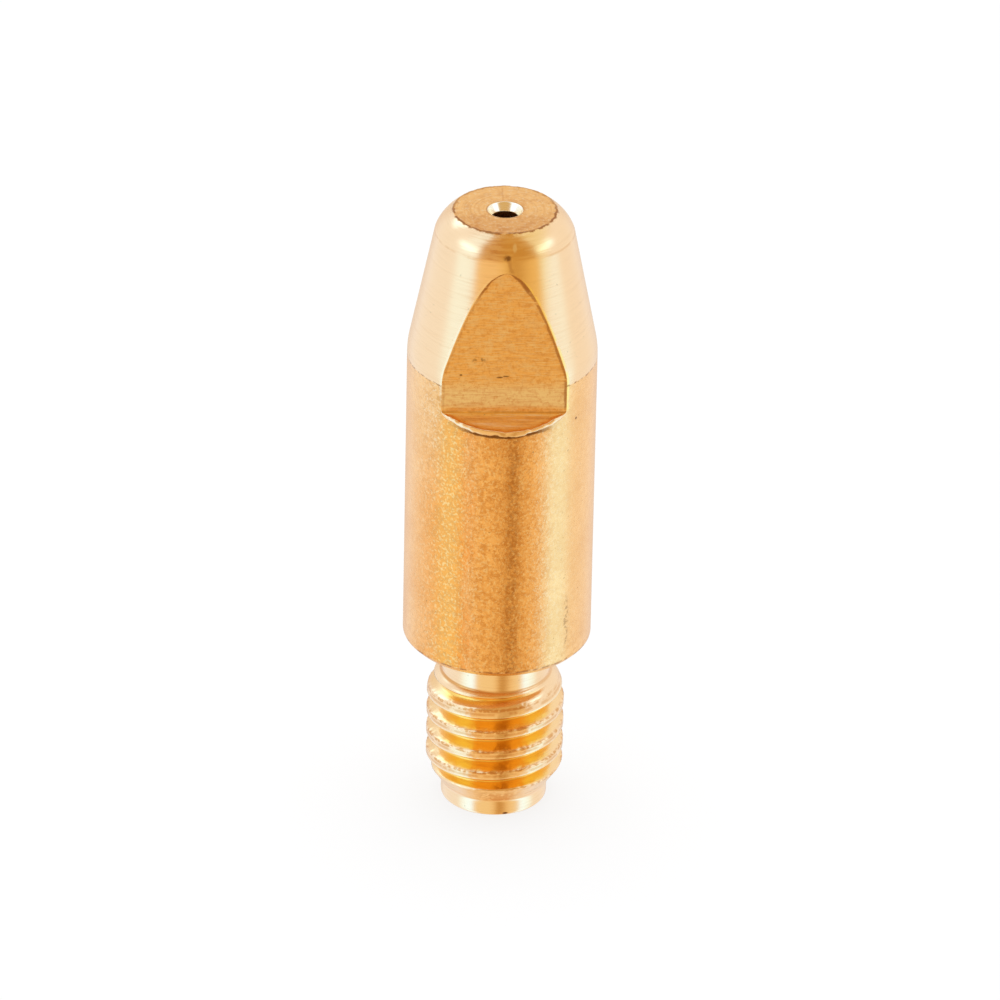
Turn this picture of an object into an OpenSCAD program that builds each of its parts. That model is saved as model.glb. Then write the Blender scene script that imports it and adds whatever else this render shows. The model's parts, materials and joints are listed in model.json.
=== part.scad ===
// Contact tip for a wire-feed welding torch, turned from one copper bar.
// It stands on its threaded end. The origin is the centre of that end face,
// +Z runs along the wire towards the nose, and the wrench flats face -Y and +Y.
// All sizes are in millimetres.

/* [Body] */
// Overall length, from the threaded end to the nose face
overall_length = 28; // [25:0.5:45]
// Diameter of the drawn bar that the body keeps
body_diameter = 8; // [7:0.1:10]
// Height of the shoulder that seats on the tip holder
shoulder_height = 7.7; // [7.4:0.1:9.5]
// Edge break round the shoulder
shoulder_break = 0.32; // [0.05:0.01:0.5]

/* [Nose] */
// Length of the tapered nose, measured back from the nose face
nose_length = 6.3; // [3:0.1:10]
// Diameter of the taper where the crowned edge begins
taper_end_diameter = 5.86; // [5:0.02:6.8]
// Length of the crowned edge round the nose face
nose_edge_length = 0.95; // [0.3:0.05:1.4]
// Radius that crowns the edge round the nose face
nose_edge_radius = 2; // [1.6:0.1:6]
// Diameter of the nose face
nose_face_diameter = 4.36; // [3:0.02:4.9]

/* [Wrench flats] */
// Distance across the two wrench flats
across_flats = 6.05; // [5:0.05:6.8]
// Length of the flats, measured back from the nose face
flat_length = 8; // [5:0.1:12]
// Slope of the ledge where a flat ends, below square to the axis
ledge_angle = 25; // [5:1:50]
// Radius in the corner between a flat and its ledge
ledge_fillet = 0.2; // [0.05:0.05:0.4]

/* [Threaded end] */
// Outside diameter of the M6 thread
thread_diameter = 5.87; // [5.6:0.01:6.2]
// Pitch of the thread
thread_pitch = 1; // [0.75:0.05:1.1]
// Depth of the thread groove
thread_depth = 0.5; // [0.25:0.05:0.5]
// Width of the thread groove at its root
groove_root_width = 0.1; // [0.05:0.01:0.15]
// Height of a groove's middle on the side of the front flat
groove_height = 5.83; // [5.6:0.01:6.1]
// Diameter of the relief neck under the shoulder
neck_diameter = 4.64; // [4.2:0.02:4.8]
// Length of the relief neck under the shoulder
neck_length = 1.6; // [1.4:0.05:2]
// Radius that rounds the thread off towards the neck
thread_end_radius = 1.5; // [0.9:0.1:2.8]
// Length of the lead taper below the thread
lead_length = 1; // [0.6:0.05:1.6]
// Diameter of the plain pilot that starts the tip in its holder
pilot_diameter = 4.52; // [4:0.02:4.8]
// Length of the plain pilot
pilot_length = 0.7; // [0.4:0.05:1.1]
// Edge rounding on the end of the pilot
pilot_edge_radius = 0.12; // [0.05:0.01:0.3]

/* [Wire way] */
// Diameter of the bore that guides the wire and feeds it current
wire_bore_diameter = 1.05; // [0.7:0.05:1.5]
// Diameter of the countersink at the nose
mouth_diameter = 1.46; // [1.3:0.02:2.2]
// Depth of the countersink at the nose
mouth_depth = 0.32; // [0.1:0.02:0.6]
// Diameter of the funnel that leads the wire in at the threaded end
funnel_diameter = 2.8; // [2:0.1:3.2]
// Included angle of the wire funnel
funnel_angle = 60; // [40:5:120]

/* [Hidden] */
body_radius = body_diameter / 2;
taper_start_height = overall_length - nose_length;
taper_end_height = overall_length - nose_edge_length;
taper_end_radius = taper_end_diameter / 2;
nose_face_radius = nose_face_diameter / 2;
nose_edge_chord = norm([taper_end_radius - nose_face_radius, nose_edge_length]);
nose_edge_depth = sqrt(pow(nose_edge_radius, 2) - pow(nose_edge_chord / 2, 2)) / nose_edge_chord;
nose_edge_centre = [
    (taper_end_radius + nose_face_radius) / 2 - nose_edge_length * nose_edge_depth,
    (taper_end_height + overall_length) / 2 - (taper_end_radius - nose_face_radius) * nose_edge_depth
];

flat_distance = across_flats / 2;
flat_end_height = overall_length - flat_length;

thread_radius = thread_diameter / 2;
neck_radius = neck_diameter / 2;
neck_end_height = shoulder_height - neck_length;
pilot_radius = pilot_diameter / 2;
lead_end_height = pilot_length + lead_length;

thread_end_centre = thread_radius - thread_end_radius;
thread_end_drop = sqrt(pow(thread_end_radius, 2) - pow(neck_radius - thread_end_centre, 2));
thread_end_height = neck_end_height - thread_end_drop;

thread_angle = 60;
groove_root_radius = thread_radius - thread_depth;
groove_clearance = 0.08;
groove_outer_radius = thread_radius + groove_clearance;
groove_flank = (groove_outer_radius - groove_root_radius) * tan(thread_angle / 2);
groove_outer_width = groove_root_width + 2 * groove_flank;
groove_section = [
    [groove_root_radius, -groove_root_width / 2],
    [groove_outer_radius, -groove_outer_width / 2],
    [groove_outer_radius, groove_outer_width / 2],
    [groove_root_radius, groove_root_width / 2]
];
front_angle = 270;
steps_per_turn = 30;
// The groove starts below the thread and runs out in the neck, where it cuts nothing.
turns_below = ceil((groove_height - pilot_length / 2) / thread_pitch);
turns_above = (neck_end_height + groove_outer_width / 2 - groove_height) / thread_pitch;
steps_below = turns_below * steps_per_turn;
steps_above = ceil(turns_above * steps_per_turn);

wire_bore_radius = wire_bore_diameter / 2;
mouth_radius = mouth_diameter / 2;
funnel_radius = funnel_diameter / 2;
funnel_depth = (funnel_radius - wire_bore_radius) / tan(funnel_angle / 2);
cut_margin = 1;
copper = [0.86, 0.56, 0.27];
$fn = 96;

// A point of the groove's section, turned to one step of the helix.
function groove_point(corner, step) =
    let (angle = front_angle + step * 360 / steps_per_turn)
    let (height = groove_height + step * thread_pitch / steps_per_turn)
    [corner[0] * cos(angle), corner[0] * sin(angle), height + corner[1]];

// Two triangles that close one side of the groove between two steps.
function groove_side(step, side, sides) =
    let (near = step * sides + side)
    let (next = step * sides + (side + 1) % sides)
    [[near, next, next + sides], [near, next + sides, near + sides]];

// The turned outline, from the pilot up to the nose face.
module turned_outline() {
    polygon([
        [0, 0],
        [pilot_radius - pilot_edge_radius, 0],
        [pilot_radius - pilot_edge_radius, pilot_edge_radius],
        [pilot_radius, pilot_edge_radius],
        [pilot_radius, pilot_length],
        [thread_radius, lead_end_height],
        [thread_radius, thread_end_height],
        [thread_end_centre, thread_end_height],
        [neck_radius, neck_end_height],
        [neck_radius, shoulder_height],
        [body_radius - shoulder_break, shoulder_height],
        [body_radius, shoulder_height + shoulder_break],
        [body_radius, taper_start_height],
        [taper_end_radius, taper_end_height],
        [nose_face_radius, overall_length],
        [0, overall_length]
    ]);
    translate([pilot_radius - pilot_edge_radius, pilot_edge_radius])
        circle(r = pilot_edge_radius);
    intersection() {
        translate([thread_end_centre, thread_end_height])
            circle(r = thread_end_radius);
        translate([0, thread_end_height])
            square([thread_radius, thread_end_drop]);
    }
    intersection() {
        translate(nose_edge_centre)
            circle(r = nose_edge_radius);
        translate([0, taper_end_height])
            square([taper_end_radius, nose_edge_length]);
    }
}

// What the milling cutter takes off in front of one flat, seen along X.
module flat_outline() {
    reach = body_radius + cut_margin;
    drop = (reach - flat_distance) * tan(ledge_angle);
    corner_height = flat_end_height + ledge_fillet * (1 - sin(ledge_angle)) / cos(ledge_angle);
    corner = [flat_distance + ledge_fillet, corner_height];
    polygon([
        [flat_distance, overall_length + cut_margin],
        [flat_distance, corner_height],
        corner,
        corner - ledge_fillet * [sin(ledge_angle), cos(ledge_angle)],
        [reach, flat_end_height - drop],
        [reach, overall_length + cut_margin]
    ]);
    translate(corner)
        circle(r = ledge_fillet);
}

module wrench_flat() {
    rotate([90, 0, 90])
        linear_extrude(height = body_diameter + 2 * cut_margin, center = true)
            flat_outline();
}

// The helical groove, swept along the thread as one closed body.
module thread_groove() {
    sides = len(groove_section);
    steps = steps_below + steps_above;
    points = [
        for (step = [-steps_below:steps_above], corner = groove_section) groove_point(corner, step)
    ];
    walls = [
        for (step = [0:steps - 1], side = [0:sides - 1]) each groove_side(step, side, sides)
    ];
    last = steps * sides;
    ends = [
        [0, 3, 2],
        [0, 2, 1],
        [last, last + 1, last + 2],
        [last, last + 2, last + 3]
    ];
    polyhedron(points = points, faces = concat(walls, ends));
}

// Bore, nose countersink and the funnel at the threaded end, cut as one.
module wire_way() {
    funnel_slope = tan(funnel_angle / 2);
    mouth_slope = (mouth_radius - wire_bore_radius) / mouth_depth;
    rotate_extrude()
        polygon([
            [0, -cut_margin],
            [funnel_radius + cut_margin * funnel_slope, -cut_margin],
            [wire_bore_radius, funnel_depth],
            [wire_bore_radius, overall_length - mouth_depth],
            [mouth_radius + cut_margin * mouth_slope, overall_length + cut_margin],
            [0, overall_length + cut_margin]
        ]);
}

module contact_tip() {
    color(copper)
        difference() {
            rotate_extrude()
                turned_outline();
            wrench_flat();
            mirror([0, 1, 0])
                wrench_flat();
            thread_groove();
            wire_way();
        }
}

contact_tip();
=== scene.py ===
"""Shows the turned copper contact tip of a wire-feed welding torch in a small white studio."""

import json
import math

import bpy
import numpy as np
from bpy.props import FloatProperty, FloatVectorProperty, PointerProperty
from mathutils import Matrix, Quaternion, Vector, noise


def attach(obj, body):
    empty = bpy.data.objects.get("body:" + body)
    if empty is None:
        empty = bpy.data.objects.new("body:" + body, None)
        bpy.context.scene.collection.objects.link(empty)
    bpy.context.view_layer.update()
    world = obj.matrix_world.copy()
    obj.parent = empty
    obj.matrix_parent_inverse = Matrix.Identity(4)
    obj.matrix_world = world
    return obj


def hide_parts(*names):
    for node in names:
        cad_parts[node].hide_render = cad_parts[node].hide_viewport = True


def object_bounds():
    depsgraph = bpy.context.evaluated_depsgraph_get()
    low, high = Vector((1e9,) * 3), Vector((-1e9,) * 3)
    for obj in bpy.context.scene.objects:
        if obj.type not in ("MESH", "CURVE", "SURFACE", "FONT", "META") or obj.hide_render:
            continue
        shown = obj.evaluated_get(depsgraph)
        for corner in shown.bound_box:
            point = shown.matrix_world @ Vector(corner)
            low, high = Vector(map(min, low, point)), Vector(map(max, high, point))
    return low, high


bl_info = {
    "name": "Contact tip",
    "version": (1, 0, 0),
    "blender": (4, 5, 0),
    "location": "3D View > Sidebar > Contact tip",
    "description": "Turns a welding contact tip and sets it up in a white studio",
    "category": "Object",
}

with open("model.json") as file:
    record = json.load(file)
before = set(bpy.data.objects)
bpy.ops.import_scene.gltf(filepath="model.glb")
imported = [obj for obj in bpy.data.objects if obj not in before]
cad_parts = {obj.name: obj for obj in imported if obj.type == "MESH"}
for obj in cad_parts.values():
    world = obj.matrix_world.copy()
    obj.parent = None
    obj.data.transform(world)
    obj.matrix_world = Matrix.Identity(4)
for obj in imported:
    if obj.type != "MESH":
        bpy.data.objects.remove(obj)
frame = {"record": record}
CAD_LOW, CAD_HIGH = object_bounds()
MOUNTS = {mount["name"]: mount for mount in frame["record"]["mounts"]}

MM = 0.001


def length(name, description, metres):
    """A length that the panel shows."""
    kind = {"subtype": "DISTANCE", "unit": "LENGTH", "min": 0.0, "precision": 5}
    return FloatProperty(name=name, description=description, default=metres, **kind)


def angle(name, description, degrees):
    """An angle that the panel shows."""
    kind = {"subtype": "ANGLE", "unit": "ROTATION"}
    return FloatProperty(name=name, description=description, default=math.radians(degrees), **kind)


def share(name, description, default):
    """A plain number from 0 to 1 that the panel shows."""
    kind = {"subtype": "FACTOR", "min": 0.0, "max": 1.0}
    return FloatProperty(name=name, description=description, default=default, **kind)


def colour(name, description, default):
    """A colour that the panel shows, in linear light."""
    kind = {"subtype": "COLOR", "size": 3, "min": 0.0, "soft_max": 1.0}
    return FloatVectorProperty(name=name, description=description, default=default, **kind)


class TipSizes(bpy.types.PropertyGroup):
    """Sizes of the tip as it stands on its threaded end"""

    overall_length: length("Overall length", "Threaded end to nose face", CAD_HIGH.z - CAD_LOW.z)
    body_radius: length("Body radius", "Radius of the drawn bar", (CAD_HIGH.x - CAD_LOW.x) / 2)
    shoulder_height: length(
        "Shoulder height", "Height of the seat on the holder", MOUNTS["shoulder_seat"]["pos_m"][2]
    )
    shoulder_break: length("Shoulder edge", "Edge break round the shoulder", 0.32 * MM)
    nose_length: length("Nose length", "Taper and crowned edge together", 6.3 * MM)
    seam_height: length("Seam height", "Height where the turned nose begins", 21.28 * MM)
    taper_end_radius: length("Taper end radius", "Radius where the crowned edge begins", 2.93 * MM)
    nose_edge_length: length("Nose edge length", "Crowned edge round the nose face", 0.95 * MM)
    nose_edge_radius: length("Nose edge radius", "Radius that crowns the edge", 2.0 * MM)
    nose_face_radius: length("Nose face radius", "Radius of the flat nose face", 2.18 * MM)
    flat_distance: length(
        "Flat distance", "From the axis to a wrench flat", -MOUNTS["front_wrench_flat"]["pos_m"][1]
    )
    flat_length: length("Flat length", "From the nose face back to the ledge", 8.0 * MM)
    ledge_angle: angle("Ledge angle", "Slope of the ledge under a flat", 25.0)
    ledge_fillet: length("Ledge fillet", "Radius between flat and ledge", 0.2 * MM)
    thread_radius: length(
        "Thread radius", "Outside radius of the thread", MOUNTS["thread"]["dims"]["r_mm"] * MM
    )
    thread_pitch: length("Thread pitch", "One turn of the thread", 1.0 * MM)
    thread_depth: length("Thread depth", "Depth of the thread groove", 0.5 * MM)
    groove_root: length("Groove root", "Width of the groove at its root", 0.1 * MM)
    groove_height: length("Groove height", "Middle of a groove in front", 5.83 * MM)
    thread_end_radius: length("Thread end", "Rounding of the thread towards the neck", 1.5 * MM)
    neck_radius: length("Neck radius", "Relief neck under the shoulder", 2.32 * MM)
    neck_length: length("Neck length", "Length of the relief neck", 1.6 * MM)
    pilot_radius: length("Pilot radius", "Plain end below the thread", 2.26 * MM)
    pilot_length: length("Pilot length", "Length of the plain end", 0.7 * MM)
    pilot_edge: length("Pilot edge", "Edge rounding on the plain end", 0.12 * MM)
    lead_length: length("Lead length", "Taper from the plain end to the thread", 1.0 * MM)
    bore_radius: length("Bore radius", "Bore for the wire", MOUNTS["wire_bore"]["dims"]["r_mm"] * MM)
    mouth_radius: length("Mouth radius", "Countersink at the nose", 0.73 * MM)
    mouth_depth: length("Mouth depth", "Depth of the countersink", 0.32 * MM)
    funnel_radius: length("Funnel radius", "Funnel at the threaded end", 1.4 * MM)
    funnel_angle: angle("Funnel angle", "Included angle of the funnel", 60.0)


class TipFinishes(bpy.types.PropertyGroup):
    """Colours and gloss of the bare copper, some of which also paint highlights, reflections and shade"""

    drawn_copper: colour("Drawn copper", "Skin of the drawn bar", (1.0, 0.58, 0.23))
    stained_copper: colour("Stained copper", "Warmer stain down the drawn bar", (0.97, 0.365, 0.062))
    turned_copper: colour("Turned copper", "Fresh turned surfaces", (0.97, 0.66, 0.36))
    milled_copper: colour("Milled copper", "Wrench flats, ledges and the nose face", (1.0, 0.6, 0.225))
    # Thread copper is deeper orange than turned copper, partly as painted reflection of the copper inside
    # the grooves.
    thread_copper: colour("Thread copper", "Bright grooves of the thread", (0.98, 0.6, 0.14))
    # Rubbed copper also paints highlights: beside the flats' edges, on the front of the crowned edge and
    # along the thread crests' lower edges.
    rubbed_copper: colour("Rubbed copper", "Burrs, edges and rubbed flecks", (1.0, 0.8, 0.5))
    # Edge copper also paints light: the highlight beside the flats' right edges, the reflection on the
    # shoulder's break face and the shade patch on the taper's front.
    edge_copper: colour("Edge copper", "Yellow edge where a flat's burr is broken off", (1.0, 0.7, 0.2))
    # Mouth copper also paints the highlight on neck and pilot, and in the mouth it is partly a painted
    # highlight.
    mouth_copper: colour("Mouth copper", "Countersink polished by the wire", (1.0, 0.88, 0.66))
    # Tarnish also paints the shade patch on the taper's front and the reflected line on the nose face.
    tarnish: colour("Tarnish", "Duller patches in the skin", (0.72, 0.32, 0.08))
    # Burnt edge also paints shade: in the thread grooves, on the front of the nose face's edge and in the
    # bore.
    burnt_edge: colour("Burnt edge", "Brown of torn edges", (0.4, 0.15, 0.035))
    # The specks' colour also paints shade: under the ledges' burrs and in the bore.
    soot: colour("Specks", "Dark specks, nicks and the bore", (0.16, 0.055, 0.012))
    drawn_roughness: share("Drawn roughness", "Gloss of the drawn bar", 0.26)
    turned_roughness: share("Turned roughness", "Gloss of turned surfaces", 0.19)
    milled_roughness: share("Milled roughness", "Gloss of milled surfaces", 0.33)


class StudioSettings(bpy.types.PropertyGroup):
    """White studio, its light and the camera"""

    floor_colour: colour("Floor", "Pale floor", (0.82, 0.82, 0.82))
    wall_light: colour("Left wall", "Light wall on the left", (0.98, 1.09, 1.3))
    right_light: colour("Right wall", "Warmer wall on the right", (0.98, 1.03, 1.13))
    edge_light: colour("Wall edges", "Brighter edges of the walls beside the gap", (1.03, 1.42, 1.9))
    back_light: colour("Back", "Light wall behind the tip", (0.87, 0.82, 0.77))
    ground_light: colour("Ground", "Warm ground under the tip", (0.94, 0.76, 0.48))
    lamp_light: colour("Lamps", "Soft lamps high on both walls", (1.4, 1.95, 2.7))
    gap_light: colour("Gap", "Warm gap in front, between the walls", (0.94, 0.73, 0.41))
    shade_light: colour("Shade", "Darkest strip of the gap, beside the camera", (0.61, 0.37, 0.125))
    camera_azimuth: angle("Camera azimuth", "Turn round the tip, 0 is in front", -2.208)
    camera_elevation: angle("Camera elevation", "Height of view above the floor", 28.94)
    camera_roll: angle("Camera roll", "Tilt of the picture", 1.186)
    camera_distance: length("Camera distance", "From the camera to its aim", 430.64 * MM)
    camera_lens: FloatProperty(
        name="Lens", description="Focal length", default=366.49, min=1.0, subtype="DISTANCE_CAMERA"
    )
    camera_sensor: FloatProperty(
        name="Sensor", description="Width of the sensor", default=36.0, min=1.0, subtype="DISTANCE_CAMERA"
    )
    aim_side: length("Aim to the side", "Picture's middle to the right of the axis", 0.03 * MM)
    aim_height: length("Aim height", "Height of the picture's middle on the tip", 14.18 * MM)


# Each finish is painted by the method of CopperFinish that has its name.
FINISH_NAMES = (
    "drawn_bar", "turned_taper", "milled_flat", "faced_end", "cut_thread", "wire_way", "wire_mouth"
)
DRAWN, TURNED, MILLED, FACED, THREADED, BORED, MOUTH = range(len(FINISH_NAMES))

# Columns of the skin in a quarter turn: over half a flat, and from there to the side.
FLAT_COLUMNS = 31
SIDE_COLUMNS = 35
QUARTER = FLAT_COLUMNS + SIDE_COLUMNS
COLUMNS = 4 * QUARTER
BACK, FRONT = QUARTER, 3 * QUARTER

# How far from the feature it is named for one stretch of the skin hands over to the next, in
# millimetres.
FUNNEL_JOIN = 0.4
END_FACE_JOIN = 0.5
PILOT_JOIN = 0.25
NECK_JOIN = 0.35
SEAT_JOIN = 0.4
SHOULDER_JOIN = 1.0
LEDGE_JOIN = 0.9
NOSE_EDGE_JOIN = 0.1
MOUTH_JOIN = 0.2
BORE_JOIN = 0.5

# A ring this close to the level of a face still counts as part of it.
FACE_SLACK = 0.02
NOSE_FACE_SLACK = 0.004

# Widths over which the corners of the turned outline and of the thread are rounded.
TAPER_EASE = 0.08
LEAD_FOOT_EASE = 0.05
LEAD_TOP_EASE = 0.08
NECK_EASE = 0.05
ROOT_EASE = 0.08
TORN_EDGE_EASE = 0.025
WORN_EDGE_EASE = 0.07
THREAD_FLANK = math.radians(30)
# How uneven the torn edge of the crests is, and how much is worn off them.
EDGE_TEAR = 0.03
CREST_WEAR = 0.02


def soft_min(first, second, width):
    """The lower of two, with the corner between them rounded."""
    part = np.clip(0.5 + 0.5 * (second - first) / width, 0.0, 1.0)
    return second * (1 - part) + first * part - width * part * (1 - part)


def soft_max(first, second, width):
    """The higher of two, with the corner between them rounded."""
    return -soft_min(-first, -second, width)


def wander(points, seed):
    """Smooth uneven values between about -1 and 1, the same on every run."""
    shift = Vector((17.3, 5.1, 9.7)) * seed
    return np.array([noise.noise(Vector(point) + shift) for point in points])


def round_wander(turn, density, seed):
    """Uneven values round the tip that close on themselves."""
    points = np.stack([np.cos(turn) * density, np.sin(turn) * density, 0 * turn], axis=1)
    return wander(points, seed)


class Skin:
    """Rings of points round the tip and the faces between them, in millimetres"""

    def __init__(self):
        self.points = []
        self.faces = []
        self.finishes = []

    def ring(self, radius, turn, height):
        """Adds a ring of points and returns their numbers."""
        first = len(self.points)
        radius, height = np.broadcast_to(radius, turn.shape), np.broadcast_to(height, turn.shape)
        self.points.extend(zip(radius * np.cos(turn), radius * np.sin(turn), height))
        return np.arange(first, first + len(turn))

    def join(self, lower, upper, finish):
        """Puts faces between two open rows of point numbers; corners that meet fall together."""
        finish = np.broadcast_to(finish, len(lower) - 1).tolist()
        lower, upper = lower.tolist(), upper.tolist()
        for column, slot in enumerate(finish):
            corners = (lower[column], lower[column + 1], upper[column + 1], upper[column])
            corners = tuple(dict.fromkeys(corners))
            if len(corners) > 2:
                self.faces.append(corners)
                self.finishes.append(slot)

    def band(self, lower, upper, finish):
        """Puts faces all round between two rings."""
        self.join(np.append(lower, lower[0]), np.append(upper, upper[0]), finish)

    def grow(self, ring, radius, turn, height, finish):
        """Adds a ring and the faces that lead to it from the one before."""
        following = self.ring(radius, turn, height)
        self.band(ring, following, finish)
        return following

    def run(self, ring, turn, outline, finish_at):
        """Carries the skin on along an outline of radius and height; finish_at goes by the height."""
        for radius, height in outline:
            ring = self.grow(ring, radius, turn, height, finish_at(height))
        return ring


def eased(corners, spacing, steps=5, guard=0.03):
    """An outline through corners of radius, height and setback, with each corner eased.

    Guard points stand close beside each eased corner, so that straight runs stay straight."""
    places = [np.array(corner[:2], dtype=float) for corner in corners]
    setbacks = [corner[2] if len(corner) > 2 else 0.0 for corner in corners]
    setbacks[0] = setbacks[-1] = 0.0
    outline = []
    for number, place in enumerate(places):
        if setbacks[number] > 0:
            before, after = places[number - 1] - place, places[number + 1] - place
            start = place + before / np.linalg.norm(before) * setbacks[number]
            end = place + after / np.linalg.norm(after) * setbacks[number]
            for part in np.linspace(0, 1, steps + 1):
                outline.append((1 - part) ** 2 * start + 2 * part * (1 - part) * place + part**2 * end)
        else:
            outline.append(place)
        if number == len(places) - 1:
            break
        start = outline[-1]
        way = places[number + 1] - start
        reach = np.linalg.norm(way) - setbacks[number + 1]
        way = way / np.linalg.norm(way)
        inner = [reach * step / (reach // spacing + 1) for step in range(1, int(reach // spacing) + 1)]
        if setbacks[number] > 0 and reach > 3 * guard:
            inner.append(guard)
        if setbacks[number + 1] > 0 and reach > 3 * guard:
            inner.append(reach - guard)
        outline.extend(start + way * distance for distance in sorted(inner))
    return [tuple(place) for place in outline]


class TipShape:
    """Outline of the tip in millimetres"""

    def __init__(self, sizes):
        angles = ("ledge_angle", "funnel_angle")
        for name in TipSizes.__annotations__:
            setattr(self, name, getattr(sizes, name) / (1 if name in angles else MM))
        self.taper_start = self.overall_length - self.nose_length
        self.taper_end = self.overall_length - self.nose_edge_length
        self.taper_slope = (self.body_radius - self.taper_end_radius) / (self.taper_end - self.taper_start)
        self.flat_end = self.overall_length - self.flat_length
        self.fillet_top = self.flat_end + self.ledge_fillet * (
            (1 - math.sin(self.ledge_angle)) / math.cos(self.ledge_angle)
        )
        self.lead_end = self.pilot_length + self.lead_length
        self.lead_slope = (self.thread_radius - self.pilot_radius) / self.lead_length
        self.neck_end = self.shoulder_height - self.neck_length
        self.round_centre = self.thread_radius - self.thread_end_radius
        self.round_height = self.neck_end - math.sqrt(
            self.thread_end_radius**2 - (self.neck_radius - self.round_centre) ** 2
        )
        self.root_radius = self.thread_radius - self.thread_depth
        self.funnel_depth = (self.funnel_radius - self.bore_radius) / math.tan(self.funnel_angle / 2)
        self.body_edge = math.acos(self.flat_distance / self.body_radius)
        self.apex = self.taper_start + (self.body_radius - self.flat_distance) / self.taper_slope
        self.thread_low = self.pilot_length - PILOT_JOIN
        self.thread_high = self.neck_end + NECK_JOIN
        self.body_low = self.shoulder_height + SHOULDER_JOIN
        self.body_high = self.flat_end - LEDGE_JOIN
        self.taper_high = self.taper_end - NOSE_EDGE_JOIN
        self.bore_low = self.funnel_depth + FUNNEL_JOIN
        self.bore_high = self.overall_length - self.mouth_depth - BORE_JOIN

    def turned_radius(self, height):
        """Radius of body and taper."""
        taper = self.body_radius - (height - self.taper_start) * self.taper_slope
        return soft_min(self.body_radius, taper, TAPER_EASE)

    def nose_edge(self, steps):
        """Points of the crowned edge, from the taper up to the nose face."""
        low = np.array([self.taper_end_radius, self.taper_end])
        high = np.array([self.nose_face_radius, self.overall_length])
        chord = high - low
        span = np.linalg.norm(chord)
        inward = np.array([-chord[1], chord[0]]) / span
        centre = (low + high) / 2 + inward * math.sqrt(self.nose_edge_radius**2 - (span / 2) ** 2)
        first, last = (math.atan2(*(point - centre)[::-1]) for point in (low, high))
        turn = np.linspace(first, last, steps + 1)
        return [tuple(centre + self.nose_edge_radius * np.array([math.cos(t), math.sin(t)])) for t in turn]

    def flat_edge(self, height):
        """Angle from the middle of a flat to its edge."""
        return math.acos(min(1.0, self.flat_distance / float(self.turned_radius(height))))

    def ledge_height(self, distance):
        """Height of the milled step at a distance from the axis plane."""
        into = distance - self.flat_distance
        ledge = self.flat_end - math.tan(self.ledge_angle) * into
        radius = self.ledge_fillet
        inside = np.clip(radius - into, 0.0, radius)
        fillet = self.fillet_top - np.sqrt(radius**2 - inside**2)
        return np.where(into < radius * (1 - math.sin(self.ledge_angle)), fillet, ledge)

    def blank_radius(self, height):
        """Radius of pilot, lead taper, thread blank and neck before the thread is cut."""
        lead = self.pilot_radius + (height - self.pilot_length) * self.lead_slope
        lower = soft_max(self.pilot_radius, lead, LEAD_FOOT_EASE)
        lower = soft_min(lower, self.thread_radius, LEAD_TOP_EASE)
        above = np.clip(height - self.round_height, 0.0, self.thread_end_radius)
        rounded = self.round_centre + np.sqrt(self.thread_end_radius**2 - above**2)
        upper = soft_max(rounded, self.neck_radius, NECK_EASE)
        return np.where(height < self.round_height, lower, upper)

    def groove_radius(self, offset):
        """Radius of the thread groove at an offset from its middle."""
        flank = (np.abs(offset) - self.groove_root / 2) / math.tan(THREAD_FLANK)
        return self.root_radius + soft_max(0.0, flank, ROOT_EASE)

    def thread_radius_at(self, offset, turn, height):
        """Radius of the cut thread at an offset from a groove's middle.

        The crests are torn along their upper edge, which is below a groove."""
        blank = self.blank_radius(height)
        places = np.stack([blank * np.cos(turn), blank * np.sin(turn), height], axis=1)
        rough = wander(places * 2.6, 1) * EDGE_TEAR + wander(places * 6.5, 2) * EDGE_TEAR
        torn = offset < 0
        at_edge = min(1.0, max(0.0, (abs(offset) - 0.2) / 0.1)) if torn else 0.1
        groove = self.groove_radius(offset - rough * at_edge)
        worn = np.clip((blank - self.neck_radius - 0.1) / 0.3, 0.0, 1.0) * (groove > blank)
        crest = blank - CREST_WEAR * np.abs(wander(places * 5.0, 3)) * worn
        return soft_min(crest, groove, TORN_EDGE_EASE if torn else WORN_EDGE_EASE)


def even_turns():
    """Angles of the columns, evenly spaced from the +X side."""
    return np.arange(COLUMNS) * (2 * math.pi / COLUMNS)


def flat_turns(edge):
    """Angles of the columns when the edges of both flats lie at an angle from their middles."""
    part = np.linspace(0, 1, FLAT_COLUMNS + 1)
    over_flat = edge * (part + 0.25 * np.sin(math.pi * part) * part)
    over_flat[-1] = edge
    part = np.linspace(0, 1, SIDE_COLUMNS + 1)[1:]
    to_side = edge + (math.pi / 2 - edge) * (part - 0.25 * np.sin(math.pi * part) * (1 - part))
    quarter = np.concatenate([over_flat, to_side])
    falling = math.pi / 2 - quarter[::-1]
    rising = math.pi / 2 + quarter
    half = np.concatenate([falling[:-1], rising[:-1]])
    return np.concatenate([half, half + math.pi])


def from_flat(turn):
    """Angle of each column from the middle of the nearer flat."""
    return np.abs((turn % math.pi) - math.pi / 2)


def columns_over_flats(reach):
    """Which columns lie within so many columns of the middle of a flat."""
    column = np.arange(COLUMNS)
    return np.minimum(np.abs(column - BACK), np.abs(column - FRONT)) <= reach


def faces_over_flats():
    """Which faces of a band lie over a flat."""
    columns = columns_over_flats(FLAT_COLUMNS)
    return columns & np.roll(columns, -1)


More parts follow.
